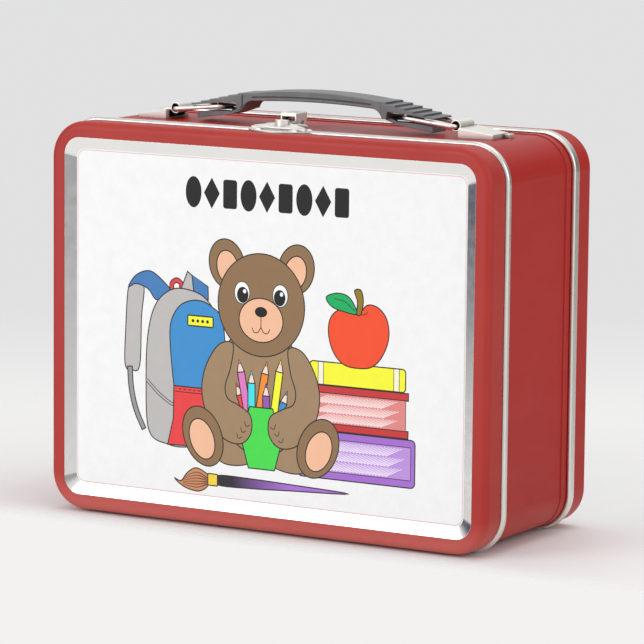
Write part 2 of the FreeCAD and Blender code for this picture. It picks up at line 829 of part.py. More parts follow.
def flip(points, side):
    """Mirror an outline drawn for +X over to -X, keeping its direction of travel."""
    return points if side > 0 else [(-x, y) for x, y in reversed(points)]


def slopes(edge):
    """True for a hood's two sloping top edges."""
    box = edge.BoundBox
    return box.XLength > 10 and box.ZLength > 1 and box.YLength > 1


def add_barrel(body, side):
    """Curl the barrel: a loose tube over the link's crossbar that hangs on the hood's top edge."""
    bore = dim("barrel_bore")
    shell = bore + dim("barrel_sheet")
    station = dim("barrel_station")
    height = dim("barrel_height") + dim("barrel_rise") - BAND_TOP
    length = dim("barrel_half_length") * 2
    high = dim("hood_inner_rise")
    low = high - dim("mount_sheet")
    root = dim("hood_inner") + dim("mount_sheet")
    bridge = [(station + bore, low), (root, low), (root, high), (station + bore, high)]
    pad(body, outline(new_sketch(body, "XZ_Plane"), flip(bridge, side)), length, middle=True)
    tube = new_sketch(body, "XZ_Plane")
    circle(tube, station * side, height, shell)
    pad(body, tube, length, middle=True)
    hole = new_sketch(body, "XZ_Plane")
    circle(hole, station * side, height, bore)
    pocket(body, hole, length, middle=True)


def backing_plate(label, spots):
    """A strip inside the band that spreads the load of a row of rivets."""
    body = new_body(label)
    sheet, margin = dim("backing_sheet"), dim("backing_margin")
    first, last = spots
    plate = new_sketch(body, "XY_Plane", -sheet)
    rectangle(plate, first[0] - margin, first[1] - margin, last[0] + margin, last[1] + margin)
    pad(body, plate, sheet)
    holes = new_sketch(body, "XY_Plane", -sheet)
    for x, y in spots:
        circle(holes, x, y, dim("rivet_radius"))
    pocket(body, holes, sheet, back=True)
    return place(body, 0, 0, BAND_INNER_TOP)


# ---------------------------------------------------------------- latch

def catch_apron(body, front, low):
    """The catch's sloping apron: highest in the middle at the back, and tapering to both ends."""
    sheet = dim("catch_sheet")
    back, top = front + dim("apron_depth"), low + dim("apron_rise")
    slope = new_sketch(body, "YZ_Plane")
    outline(slope, [(front - dim("apron_bulge"), low), (front, low), (back, top - sheet), (back, top),
                    (front - dim("apron_bulge"), low + sheet)])
    pad(body, slope, dim("apron_half_length") * 2, middle=True)
    half, half_top = dim("apron_half_length"), dim("apron_half_top")
    trim = new_sketch(body, "XY_Plane")
    rectangle(trim, -half - 1, front - dim("apron_bulge") - 1, half + 1, back + 1)
    outline(trim, [(-half, front), (half, front), (half_top, back), (-half_top, back)],
            {0: (bend_radius(half, dim("apron_bulge")), 1)})
    pocket(body, trim, back=True)


def catch_plate():
    """The lid's half of the latch: a lens-shaped plate that steps up over the bead, with a hook."""
    body = new_body("catch_plate")
    half, sheet = dim("catch_half_length"), dim("catch_sheet")
    step_back = dim("mouth_bead_front") - dim("catch_bead_gap")
    step_front = step_back - dim("catch_riser")
    lift = dim("catch_lift") - LID_TOP
    catch_apron(body, step_back, lift)
    riser_half = half - dim("catch_inset")
    riser = new_sketch(body, "XY_Plane")
    rectangle(riser, -riser_half, step_front, riser_half, step_back)
    pad(body, riser, lift + sheet)
    front_radius = bend_radius(half, step_back - dim("catch_front"))
    low = [(half, step_back), (-half, step_back)]
    pad(body, outline(new_sketch(body, "XY_Plane"), low, {0: (front_radius, -1)}), sheet)
    back_radius = bend_radius(riser_half, dim("catch_back_reach"))
    back = [(-riser_half, step_front), (riser_half, step_front), (riser_half, step_back),
            (-riser_half, step_back)]
    pad(body, outline(new_sketch(body, "XY_Plane", lift), back, {2: (back_radius, 1)}), sheet)
    add_hook(body, step_back, lift)
    boss = new_sketch(body, "XY_Plane", lift)
    radius, boss_front, boss_back = dim("boss_radius"), dim("boss_front"), dim("boss_back")
    outline(boss, [(-radius, boss_front), (radius, boss_front), (radius, boss_back), (-radius, boss_back)],
            {0: (radius * 1.06, 1)})
    pad(body, boss, dim("boss_height"))
    holes = new_sketch(body, "XY_Plane")
    for x, y in local(CATCH_SPOTS, FRONT):
        circle(holes, x, y, dim("rivet_radius"))
    pocket(body, holes, sheet, back=True)
    return place(body, 0, FRONT, LID_TOP)


def add_hook(body, step_back, lift):
    """The catch's tongue under the lever, with an upturned lip behind the lever's cross strip."""
    half, lip = dim("hook_half_width"), dim("hook_sheet")
    end = dim("lever_front") + dim("hook_reach")
    tongue = new_sketch(body, "XY_Plane", lift)
    rectangle(tongue, -half, step_back + 2, half, end)
    pad(body, tongue, dim("catch_sheet"))
    upturn = new_sketch(body, "XY_Plane", lift)
    rectangle(upturn, -half, end - lip, half, end)
    pad(body, upturn, dim("catch_sheet") + dim("hook_lip"))


def latch_base():
    """The body's half of the latch: a plate behind the bead with two upright ears."""
    body = new_body("latch_base")
    sheet = dim("ear_sheet")
    front = dim("mouth_bead_front") + dim("mouth_bead_width") + dim("base_gap")
    middle = front + dim("base_straight")
    half = dim("catch_half_length") - dim("catch_inset")
    back_radius = bend_radius(half, dim("lever_back") - dim("base_back") - middle)
    points = [(-half, front), (half, front), (half, middle), (-half, middle)]
    pad(body, outline(new_sketch(body, "XY_Plane"), points, {2: (back_radius, 1)}), sheet)
    pivot_z = dim("pivot_height") - BAND_TOP
    low_y = dim("pivot_back") - dim("ear_half_width")
    high_y = dim("pivot_back") + dim("ear_half_width")
    for side in (-1, 1):
        edge = dim("ear_half_gap") if side > 0 else -dim("ear_half_gap") - sheet
        ear = new_sketch(body, "YZ_Plane", edge)
        outline(ear, [(low_y, sheet / 2), (high_y, sheet / 2), (high_y, pivot_z), (low_y, pivot_z)],
                {2: (dim("ear_bend"), 1)})
        pad(body, ear, sheet)
    bore = new_sketch(body, "YZ_Plane", -half)
    circle(bore, dim("pivot_back"), pivot_z, dim("latch_pin_radius"))
    pocket(body, bore, back=True)
    holes = new_sketch(body, "XY_Plane")
    for x, y in local(LATCH_SPOTS, FRONT):
        circle(holes, x, y, dim("rivet_radius"))
    pocket(body, holes, sheet, back=True)
    return place(body, 0, FRONT, BAND_TOP)


def latch_lever():
    """The thumb lever: an upside-down channel on the pin, with a cross strip and two wings in front."""
    body = new_body("latch_lever")
    half, sheet = dim("lever_half_width"), dim("lever_sheet")
    front = dim("lever_front") - dim("pivot_back")
    back = dim("lever_back") - dim("pivot_back")
    top = dim("lever_top") - dim("pivot_height")
    foot, bend = -dim("cheek_foot"), dim("cheek_bend")
    cheek = [(front, foot + 1), (front + 2.6, foot), (0.4, foot), (-foot, -0.4), (back, 1), (back, top),
             (front, top)]
    pad(body, outline(new_sketch(body, "YZ_Plane"), cheek, {2: (bend, 1)}), half * 2, middle=True)
    round_edges(body, sheet, lambda edge: edge.BoundBox.YLength > 8 and lies_at(edge, "z", top.number))
    inside = [(front - 1, foot - 1), (back + 1, foot - 1), (back + 1, top - sheet), (front - 1, top - sheet)]
    pocket(body, outline(new_sketch(body, "YZ_Plane"), inside), (half - sheet) * 2, middle=True)
    inner_width = (half - sheet / 2) * 2
    strip = new_sketch(body, "YZ_Plane")
    rectangle(strip, front, -dim("strip_low"), front + dim("strip_sheet"), dim("strip_high"))
    pad(body, strip, inner_width, middle=True)
    lip = new_sketch(body, "YZ_Plane")
    rectangle(lip, front, top - dim("lever_lip"), front + sheet, top - sheet / 2)
    pad(body, lip, inner_width, middle=True)
    root, reach = half - sheet / 2, half + dim("wing_reach")
    for side in (-1, 1):
        wing = [(root, front + 1.6), (half + 3, front + 1.4), (reach, front - 1.4), (half + 3, front - 3.4),
                (root, front - 3.4)]
        pad(body, outline(new_sketch(body, "XY_Plane", -dim("wing_drop")), flip(wing, -side)), sheet)
    bore = new_sketch(body, "YZ_Plane", -half - 1)
    circle(bore, 0, 0, dim("latch_pin_radius") + dim("hinge_fit"))
    pocket(body, bore, back=True)
    return place(body, 0, FRONT + dim("pivot_back"), dim("pivot_height"))


def latch_pin():
    body = new_body("latch_pin")
    section = new_sketch(body, "YZ_Plane")
    circle(section, 0, 0, dim("latch_pin_radius"))
    pad(body, section, dim("lever_half_width") * 2 + 0.8, middle=True)
    return place(body, 0, FRONT + dim("pivot_back"), dim("pivot_height"))


# ---------------------------------------------------------------- assembly

def build():
    core = strap()
    nodes = [
        lid_shell(), bezel("lid_bezel"), panel("front_plate"),
        body_band(), mouth_bead(), seam_bead(),
        back_shell(), bezel("back_bezel", True), panel("back_plate", True),
        hinge_leaf("lid_hinge_leaf", LID_BOTTOM + SHEET, -1, 1),
        hinge_leaf("body_hinge_leaf", BAND_BOTTOM + SHEET, 1, 0),
        hinge_pin(),
        rivets("lid_hinge_rivets", LID_HINGE_SPOTS, LID_BOTTOM, LID_BOTTOM + SHEET + dim("leaf_sheet")),
        rivets("body_hinge_rivets", BODY_HINGE_SPOTS, BAND_BOTTOM,
               BAND_BOTTOM + SHEET + dim("leaf_sheet")),
        core, handle_grip(core),
        catch_plate(), rivets("catch_rivets", CATCH_SPOTS, LID_TOP - SHEET, LID_TOP + dim("catch_sheet")),
        latch_base(), latch_lever(), latch_pin(),
        rivets("latch_rivets", LATCH_SPOTS, BACKING_UNDER, BAND_TOP + dim("ear_sheet")),
        backing_plate("latch_backing_plate", LATCH_SPOTS),
    ]
    for word, side in (("left", -1), ("right", 1)):
        nodes += [
            mount(f"{word}_mount", side), link(f"{word}_link", side),
            rivets(f"{word}_mount_rivets", MOUNT_SPOTS[side], BACKING_UNDER, BAND_TOP + dim("mount_sheet")),
            backing_plate(f"{word}_backing_plate", MOUNT_SPOTS[side]),
        ]
    return nodes


def check_and_export(nodes):
    doc.recompute()
    failed = [item.Label for item in doc.Objects if {"Invalid", "Error"} & set(item.State)]
    if failed:
        raise RuntimeError(f"these objects did not recompute: {failed}")
    os.makedirs("parts", exist_ok=True)
    for node in nodes:
        if node.Shape.isNull() or not node.Shape.isValid():
            raise RuntimeError(f"{node.Label} has no valid shape")
        node.Shape.exportStep(f"parts/{node.Label}.step")
        print(node.Label, len(node.Shape.Solids), round(node.Shape.Volume, 1))


check_and_export(build())
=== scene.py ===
"""Looks of the metal lunch box: enamel, bright trim, printed panel, moulded grip and a plain studio."""
import math

import bmesh
import bpy
from mathutils import Matrix, Vector
from mathutils.geometry import delaunay_2d_cdt


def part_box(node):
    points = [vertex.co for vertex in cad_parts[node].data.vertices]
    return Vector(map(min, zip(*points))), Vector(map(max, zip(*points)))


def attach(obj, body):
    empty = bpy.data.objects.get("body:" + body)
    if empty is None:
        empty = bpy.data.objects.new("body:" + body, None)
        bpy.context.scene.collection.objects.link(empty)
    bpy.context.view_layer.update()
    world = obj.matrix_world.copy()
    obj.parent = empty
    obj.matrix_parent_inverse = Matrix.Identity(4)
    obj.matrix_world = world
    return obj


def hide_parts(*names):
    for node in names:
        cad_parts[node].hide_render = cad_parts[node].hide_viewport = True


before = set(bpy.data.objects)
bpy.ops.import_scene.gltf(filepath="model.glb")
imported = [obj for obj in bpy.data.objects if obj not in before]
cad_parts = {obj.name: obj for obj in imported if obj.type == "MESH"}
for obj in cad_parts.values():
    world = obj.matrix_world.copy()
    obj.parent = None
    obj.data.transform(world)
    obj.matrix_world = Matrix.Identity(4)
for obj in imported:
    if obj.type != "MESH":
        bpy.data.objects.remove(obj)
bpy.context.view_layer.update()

MM = 0.001


# ------------------------------------------------------------------ colours

def linear(red, green, blue):
    """A display colour of 0 to 255 a channel as scene-linear light."""
    channels = []
    for value in (red, green, blue):
        share = value / 255
        channels.append(share / 12.92 if share <= 0.04045 else ((share + 0.055) / 1.055) ** 2.4)
    return (*channels, 1.0)


# ------------------------------------------------------------------ material building blocks

# sockets of a colour Mix node: its factor, its two colours and the mixed colour
MIX_FACTOR, MIX_FIRST, MIX_SECOND, MIXED = 0, 6, 7, 2


class Nodes:
    """A short way to build a material's node tree."""

    def __init__(self, name):
        self.material = bpy.data.materials.new(name)
        self.material.use_nodes = True
        self.tree = self.material.node_tree
        self.tree.nodes.clear()
        self.output = self.add("OutputMaterial")
        self.shader = self.add("BsdfPrincipled")
        self.link(self.shader, "BSDF", self.output, "Surface")
        self.place = self.add("TexCoord")

    def add(self, kind, **settings):
        node = self.tree.nodes.new(f"ShaderNode{kind}")
        for key, value in settings.items():
            setattr(node, key, value)
        return node

    def link(self, source, out, target, into):
        self.tree.links.new(source.outputs[out], target.inputs[into])

    def constant(self, **values):
        """Set sockets of the main shader by name; an underscore stands for a space."""
        for key, value in values.items():
            self.shader.inputs[key.replace("_", " ")].default_value = value

    def scaled(self, stretch):
        """Object coordinates stretched by a factor for each axis."""
        mapping = self.add("Mapping")
        mapping.inputs["Scale"].default_value = stretch
        self.link(self.place, "Object", mapping, "Vector")
        return mapping

    def noise(self, scale, detail=4.0, rough=0.5, stretch=(1, 1, 1)):
        node = self.add("TexNoise")
        node.inputs["Scale"].default_value = scale
        node.inputs["Detail"].default_value = detail
        node.inputs["Roughness"].default_value = rough
        self.link(self.scaled(stretch), "Vector", node, "Vector")
        return node

    def remap(self, source, out, low, high, to_low, to_high):
        node = self.add("MapRange")
        for name, value in (("From Min", low), ("From Max", high), ("To Min", to_low), ("To Max", to_high)):
            node.inputs[name].default_value = value
        self.link(source, out, node, "Value")
        return node

    def mix(self, factor, factor_out, first, second):
        """Mix two colours; each is a colour or a (node, socket) pair."""
        node = self.add("Mix", data_type="RGBA")
        self.link(factor, factor_out, node, MIX_FACTOR)
        for index, value in ((MIX_FIRST, first), (MIX_SECOND, second)):
            if isinstance(value[0], bpy.types.Node):
                self.tree.links.new(value[0].outputs[value[1]], node.inputs[index])
            else:
                node.inputs[index].default_value = value
        return node

    def bump(self, source, out, strength, distance, under=None):
        node = self.add("Bump")
        node.inputs["Strength"].default_value = strength
        node.inputs["Distance"].default_value = distance
        self.link(source, out, node, "Height")
        if under is not None:
            self.link(under, "Normal", node, "Normal")
        return node

    def soft_edges(self, radius):
        """Round the shading of sharp sheet edges by a small radius."""
        node = self.add("Bevel", samples=12)
        node.inputs["Radius"].default_value = radius
        return node

    def painted_gap_shade(self, reach, colour, colour_out, dark):
        """The colour, darkened in gaps narrower than the reach: painted shade, from ambient occlusion."""
        shelter = self.add("AmbientOcclusion", samples=12)
        shelter.inputs["Distance"].default_value = reach
        return self.mix(self.remap(shelter, "AO", 0.3, 0.8, 0.0, 1.0), "Result", dark, (colour, colour_out))


def enamel(name, base, wear_and_floor_sheen, shade):
    """Gloss enamel on steel: slight orange peel, soft colour drift, rubbed patches and a painted floor
    reflection at the foot.
    """
    n = Nodes(name)
    drift = n.noise(14.0, 3.0)
    colour = n.mix(n.remap(drift, "Fac", 0.35, 0.7, 0.0, 1.0), "Result", base, shade)
    rub = n.noise(55.0, 8.0, 0.65)
    rubbed = n.mix(n.remap(rub, "Fac", 0.66, 0.78, 0.0, 0.35), "Result", (colour, MIXED), wear_and_floor_sheen)
    # painted reflection of the bright floor: the enamel turns lighter towards the bottom
    height = n.add("SeparateXYZ")
    n.link(n.place, "Object", height, "Vector")
    floor_sheen = n.mix(n.remap(height, "Z", 0.002, 0.016, 0.8, 0.0), "Result", (rubbed, MIXED), wear_and_floor_sheen)
    n.link(floor_sheen, MIXED, n.shader, "Base Color")
    smear = n.noise(30.0, 6.0, 0.6, (1.0, 1.0, 2.6))
    n.link(n.remap(smear, "Fac", 0.3, 0.75, 0.38, 0.52), "Result", n.shader, "Roughness")
    peel = n.noise(900.0, 2.0)
    edges = n.soft_edges(0.0005)
    n.link(n.bump(peel, "Fac", 0.05, 0.0002, edges), "Normal", n.shader, "Normal")
    n.constant(IOR=1.5, Specular_IOR_Level=0.3)
    return n.material


def bright_metal(name, base, dull, low, high, stretch=(1, 1, 1), edge_radius=0.0, metallic=1.0, gap_shade_colour=None):
    """Plated or bare bright steel: fine drawing lines, soft haze, rounded edges and painted shade in narrow
    gaps.
    """
    n = Nodes(name)
    haze = n.noise(45.0, 5.0, 0.55)
    colour = n.mix(n.remap(haze, "Fac", 0.4, 0.75, 0.0, 0.35), "Result", base, dull)
    # painted shade: where a shade colour is given, the colour is darkened in narrow gaps
    if gap_shade_colour:
        colour = n.painted_gap_shade(0.004, colour, MIXED, gap_shade_colour)
    n.link(colour, MIXED, n.shader, "Base Color")
    lines = n.noise(260.0, 3.0, 0.5, stretch)
    n.link(n.remap(lines, "Fac", 0.3, 0.7, low, high), "Result", n.shader, "Roughness")
    under = n.soft_edges(edge_radius) if edge_radius else None
    n.link(n.bump(lines, "Fac", 0.02, 0.00005, under), "Normal", n.shader, "Normal")
    n.constant(Metallic=metallic, IOR=2.5)
    return n.material


def grip_plastic():
    """Dark moulded plastic: fine grain, paler rubbed patches and painted shade in narrow gaps."""
    n = Nodes("grip_plastic_visual")
    wear = n.noise(60.0, 7.0, 0.65)
    colour = n.mix(n.remap(wear, "Fac", 0.4, 0.75, 0.0, 1.0), "Result",
                   linear(94, 95, 98), linear(130, 131, 133))
    # painted shade: the colour darkened in narrow gaps and creases
    gap_shaded = n.painted_gap_shade(0.003, colour, MIXED, linear(30, 30, 32))
    n.link(gap_shaded, MIXED, n.shader, "Base Color")
    n.link(n.remap(wear, "Fac", 0.3, 0.75, 0.3, 0.5), "Result", n.shader, "Roughness")
    grain = n.add("TexVoronoi")
    grain.inputs["Scale"].default_value = 1400.0
    n.link(n.scaled((1, 1, 1)), "Vector", grain, "Vector")
    n.link(n.bump(grain, "Distance", 0.15, 0.0001, n.soft_edges(0.0004)), "Normal", n.shader, "Normal")
    n.constant(IOR=1.5)
    return n.material


def print_finish(n, colour_node, colour_out):
    """The shared surface of the printed sheet: satin, fine roller grain, tiny pits."""
    grain = n.noise(1300.0, 3.0, 0.6, (1.0, 1.0, 2.2))
    cloud = n.noise(38.0, 4.0, 0.55)
    dim = n.mix(n.remap(grain, "Fac", 0.4, 0.72, 0.0, 0.07), "Result",
                (colour_node, colour_out), linear(120, 120, 122))
    n.link(dim, MIXED, n.shader, "Base Color")
    n.link(n.remap(cloud, "Fac", 0.3, 0.7, 0.44, 0.48), "Result", n.shader, "Roughness")
    n.link(n.bump(grain, "Fac", 0.1, 0.0001), "Normal", n.shader, "Normal")
    n.constant(IOR=1.45, Specular_IOR_Level=0.2)
    return n.material


def ink(name, rgb):
    """One flat printing ink, with a slight unevenness of the ink film."""
    n = Nodes(f"ink_{name}")
    film = n.noise(160.0, 4.0, 0.6)
    deep = tuple(channel * 0.93 for channel in linear(*rgb)[:3]) + (1.0,)
    colour = n.mix(n.remap(film, "Fac", 0.35, 0.7, 0.0, 0.6), "Result", linear(*rgb), deep)
    return print_finish(n, colour, MIXED)


def faded_ink(name, first, second, start, end):
    """An ink that runs from one colour to another along the panel's width."""
    n = Nodes(f"ink_{name}")
    split = n.add("SeparateXYZ")
    n.link(n.place, "Object", split, "Vector")
    blend = n.remap(split, "X", start * MM, end * MM, 0.0, 1.0)
    colour = n.mix(blend, "Result", linear(*first), linear(*second))
    return print_finish(n, colour, MIXED)


# ------------------------------------------------------------------ flat shapes, in panel millimetres

def ellipse(x, y, wide, high, turn=0.0, count=56):
    """Points of an ellipse with half axes wide and high, turned by degrees."""
    angle = math.radians(turn)
    points = []
    for number in range(count):
        t = math.tau * number / count
        u, v = wide * math.cos(t), high * math.sin(t)
        points.append((x + u * math.cos(angle) - v * math.sin(angle),
                       y + u * math.sin(angle) + v * math.cos(angle)))
    return points


def smooth(corners, closed=True, steps=7):
    """A smooth line through a few points (a uniform Catmull-Rom curve)."""
    count = len(corners)
    points = []
    for number in range(count if closed else count - 1):
        if closed:
            p0, p1, p2, p3 = (corners[(number + k) % count] for k in (-1, 0, 1, 2))
        else:
            p0, p1, p2, p3 = (corners[min(max(number + k, 0), count - 1)] for k in (-1, 0, 1, 2))
        for step in range(steps):
            t = step / steps
            points.append(tuple(
                0.5 * (2 * b + (c - a) * t + (2 * a - 5 * b + 4 * c - d) * t * t
                       + (3 * b - a - 3 * c + d) * t ** 3)
                for a, b, c, d in zip(p0, p1, p2, p3)))
    if not closed:
        points.append(corners[-1])
    return points


def box(left, low, right, high, corner=0.0, steps=5):
    """A rectangle, with rounded corners where a radius is given."""
    if corner <= 0:
        return [(left, low), (right, low), (right, high), (left, high)]
    points = []
    centres = [(right - corner, low + corner, -90), (right - corner, high - corner, 0),
               (left + corner, high - corner, 90), (left + corner, low + corner, 180)]
    for x, y, start in centres:
        for step in range(steps + 1):
            t = math.radians(start + 90 * step / steps)
            points.append((x + corner * math.cos(t), y + corner * math.sin(t)))
    return points


def area(points):
    return 0.5 * sum(a[0] * b[1] - b[0] * a[1] for a, b in zip(points, points[1:] + points[:1]))


def wound(points):
    """The outline run anticlockwise from its longest edge, so that its inside is on the left there."""
    if area(points) < 0:
        points = points[::-1]
    count = len(points)
    start = max(range(count), key=lambda number: math.dist(points[number], points[(number + 1) % count]))
    return points[start:] + points[:start]


def grown(points, distance):
    """A closed outline moved outward by a distance, or inward where it is negative."""
    if area(points) < 0:
        points = points[::-1]
    count = len(points)
    moved = []
    for number, spot in enumerate(points):
        before = Vector(spot) - Vector(points[number - 1])
        after = Vector(points[(number + 1) % count]) - Vector(spot)
        normal = (Vector((before.y, -before.x)).normalized() + Vector((after.y, -after.x)).normalized())
        length = max(normal.length, 0.9)
        moved.append(tuple(Vector(spot) + normal * (2 * distance / length ** 2)))
    return moved


def ribbon(points, width, taper=1.0):
    """A line drawn with a width, which may taper towards its end."""
    left, right = [], []
    count = len(points)
    for number, spot in enumerate(points):
        ahead = Vector(points[min(number + 1, count - 1)]) - Vector(points[max(number - 1, 0)])
        across = Vector((-ahead.y, ahead.x)).normalized()
        half = width / 2 * (1 + (taper - 1) * number / (count - 1))
        left.append(tuple(Vector(spot) + across * half))
        right.append(tuple(Vector(spot) - across * half))
    return left + right[::-1]


LINE = 0.52


class Artwork:
    """Flat shapes laid over each other, later ones on top."""

    def __init__(self):
        self.layers = []

    def fill(self, points, colour):
        self.layers.append((points, colour))

    def shape(self, points, colour, line=LINE):
        """A filled shape with a thin dark outline."""
        self.fill(grown(points, line / 2), "line")
        self.fill(grown(points, -line / 2), colour)

    def stroke(self, points, width=LINE, colour="line", taper=1.0):
        self.fill(ribbon(points, width, taper), colour)


# ------------------------------------------------------------------ the picture

def name_marks(art):
    """A row of plain ovals, lozenges and tiles in the place of a printed name."""
    wide, high, pitch, middle = 3.9, 6.6, 9.0, 57.4
    count, inset = 9, 0.5
    for number in range(count):
        x = pitch * (number - (count - 1) / 2)
        oval = ellipse(x, middle, wide, high)
        lozenge = [(x, middle - high), (x + wide, middle), (x, middle + high), (x - wide, middle)]
        tile = box(x - wide + inset, middle - high + inset, x + wide - inset, middle + high - inset, 1.2)
        art.fill((oval, lozenge, tile)[number % 3], "letter")


def backpack(art):
    """A school backpack in grey, blue and red, with its straps at the left."""
    art.shape(smooth([(-47.5, 15.0), (-47.2, 18.4), (-44.2, 20.2), (-41.2, 18.4), (-40.9, 14.6),
                      (-42.6, 14.6), (-42.9, 17.4), (-44.2, 18.2), (-45.6, 17.4), (-45.8, 14.8)]), "red")
    art.shape([(-42.5, 14.5), (-38.8, 23.4), (-36.6, 21.8), (-35.4, 13.0)], "grey")
    art.shape([(-38.8, 23.4), (-28.6, 17.6), (-28.4, 12.0), (-35.4, 13.0), (-36.6, 21.8)], "strap_blue")
    art.shape(smooth([(-70.0, -19.0), (-69.8, -4.0), (-68.4, 14.6), (-64.8, 16.2), (-60.6, 15.4),
                      (-61.8, 2.0), (-62.6, -18.6), (-66.4, -21.2)]), "grey")
    art.shape(smooth([(-68.4, 14.6), (-65.0, 19.6), (-59.0, 22.2), (-54.0, 20.6), (-47.0, 14.4),
                      (-50.4, 11.6), (-54.6, 10.2), (-58.0, 14.0), (-61.2, 15.6), (-65.0, 16.2)]),
              "strap_blue")
    art.shape(ribbon(smooth([(-67.6, -19.6), (-66.8, -29.0), (-64.4, -38.0), (-60.4, -46.0)], False),
                     2.4, 0.9), "grey_dark")
    body = [(-57.8, -46.6), (-59.4, -24.0), (-58.4, -4.0), (-54.4, 8.6), (-46.8, 15.0), (-38.4, 15.6),
            (-30.0, 12.6), (-24.0, 4.0), (-22.0, -14.0), (-24.0, -48.6), (-38.0, -51.8), (-48.0, -51.6)]
    art.shape(smooth(body), "grey")
    piping = smooth([(-59.2, -24.6), (-53.0, -30.0), (-47.6, -33.4), (-44.6, -34.4)], False)
    art.stroke(piping, 1.5)
    art.stroke(piping, 0.8, "grey")
    panel = [(-45.4, -26.0), (-47.2, -10.0), (-47.0, 1.0), (-42.4, 8.6), (-34.6, 11.4), (-27.0, 9.4),
             (-21.0, 2.0), (-19.0, -26.0)]
    art.shape(smooth(panel, False), "blue")
    art.shape([(-45.4, -26.0), (-19.0, -26.0), (-19.0, -50.6), (-48.4, -51.6), (-45.6, -40.0)], "red")
    art.stroke([(-44.6, -28.4), (-20.0, -28.4)], 0.35)
    for dash in range(7):
        art.stroke([(-43.0 + 2.4 * dash, -27.2), (-41.6 + 2.4 * dash, -27.2)], 0.4)
    art.shape(box(-38.6, 0.4, -26.0, 4.8, 0.5), "yellow", 0.6)
    for mark in range(4):
        art.fill(ellipse(-36.0 + 2.4 * mark, 2.6, 0.7, 0.7, 0.0, 16), "letter")


def pages(art, left, low, right, high, page):
    """The fore edge of a book: three rows of slanting paper edges."""
    art.shape(box(left, low, right, high, 0.2), page, 0.3)
    rows, slant, pitch = 3, 8.0, 1.55
    step = (high - low - 1.0) / rows
    for row in range(rows):
        foot = low + 0.5 + step * row
        count = int((right - left - slant - 2.0) / pitch)
        for number in range(count):
            x = left + 1.0 + pitch * number + 0.8 * (row % 2)
            art.stroke([(x, foot + 0.2), (x + slant, foot + step - 0.3)], 0.62, f"{page}_line", 0.4)


def books(art):
    """Three books lying on each other, with an apple on top."""
    cover = 3.1
    bottom, top = -58.6, -38.6
    art.shape(box(16.0, bottom, 71.8, top, 2.0), "violet")
    pages(art, 18.0, bottom + cover, 69.8, top - cover, "lilac")
    bottom, top = -38.2, -19.3
    for low in (bottom, top - cover):
        art.shape(box(20.6, low, 68.4, low + cover), "book_red")
    pages(art, 21.6, bottom + cover, 67.2, top - cover, "rose")
    art.shape(box(21.4, -19.0, 67.0, -9.4, 1.6), "yellow")
    for x in (25.4, 61.4):
        art.shape(box(x, -18.9, x + 2.6, -9.5), "cream", 0.3)


def apple(art):
    body = [(44.4, 11.6), (40.2, 12.6), (35.0, 12.8), (31.0, 9.0), (30.2, 2.4), (32.6, -5.0), (37.6, -9.8),
            (44.6, -10.8), (51.2, -9.6), (56.0, -4.6), (58.8, 3.0), (57.8, 10.6), (53.6, 15.2), (48.4, 15.8)]
    art.shape(smooth(body), "apple")
    art.shape(smooth([(43.6, 11.8), (43.8, 17.0), (42.4, 21.4), (45.4, 21.8), (46.6, 17.4), (45.6, 12.0)]),
              "stem")
    art.shape(smooth([(43.6, 12.0), (38.0, 12.2), (31.6, 14.0), (29.0, 17.8), (34.6, 19.8), (40.2, 18.2)]),
              "leaf")
    art.stroke(smooth([(42.6, 12.8), (38.0, 16.4), (32.8, 17.4)], False), 0.34)
    art.stroke(smooth([(45.4, 11.6), (47.6, 11.9), (48.8, 13.2)], False), 0.34)


def pencil(art, tip, foot, width, colour):
    """A sharpened pencil from its tip down to where the pot hides it."""
    tip, foot = Vector(tip), Vector(foot)
    along = (foot - tip).normalized()
    across = Vector((-along.y, along.x)) * (width / 2)
    cone, point = tip + along * 5.4, tip + along * 1.9
    art.shape([tuple(tip), tuple(cone + across), tuple(cone - across)], "wood")
    art.shape([tuple(tip), tuple(point + across * 0.33), tuple(point - across * 0.33)], colour, 0.25)
    shaft = [tuple(cone + across), tuple(foot + across), tuple(foot - across), tuple(cone - across)]
    art.shape(shaft, colour)


def limb(art, points):
    art.shape(smooth(points), "bear_light")


def teddy(art):
    """A plain sitting toy bear that holds a pot of pencils."""
    limb(art, [(-26.0, -33.0), (-28.0, -45.0), (-23.0, -55.6), (-14.0, -57.4), (-5.0, -54.0), (-2.0, -44.0),
               (-8.0, -33.0)])
    limb(art, [(21.0, -33.0), (24.0, -46.0), (20.0, -56.4), (11.0, -58.0), (0.0, -54.0), (-3.0, -44.0),
               (4.0, -33.0)])
    limb(art, [(-18.4, -5.0), (-20.6, -26.0), (-16.0, -46.0), (-2.6, -52.0), (11.0, -46.0), (15.4, -26.0),
               (13.2, -5.0), (-2.4, 1.0)])
    pencils(art)
    centre = -2.6
    for side in (-1, 1):
        arm = [(13.6, -5.6), (20.6, -6.6), (26.8, -16.0), (28.8, -27.0), (25.4, -38.6), (17.4, -46.6),
               (9.2, -47.8), (4.4, -42.8), (4.8, -35.4), (10.6, -31.6), (16.0, -29.0), (17.2, -23.6),
               (14.6, -15.6)]
        limb(art, [(centre + side * x, y) for x, y in arm])
        for step in range(3):
            x, y = 6.6 + 1.9 * step, -39.2 - 2.7 * step
            curl = [(x - 1.6, y - 0.2), (x + 0.2, y - 1.0), (x + 1.0, y + 1.2)]
            art.stroke(smooth([(centre + side * u, v) for u, v in curl], False), 0.34)
        foot = (centre + side * 28.2, -46.4)
        art.shape(ellipse(*foot, 9.4, 13.2, side * -24), "bear")
        art.shape(ellipse(foot[0] + side * 0.4, foot[1] - 1.2, 5.9, 8.9, side * -22), "peach")


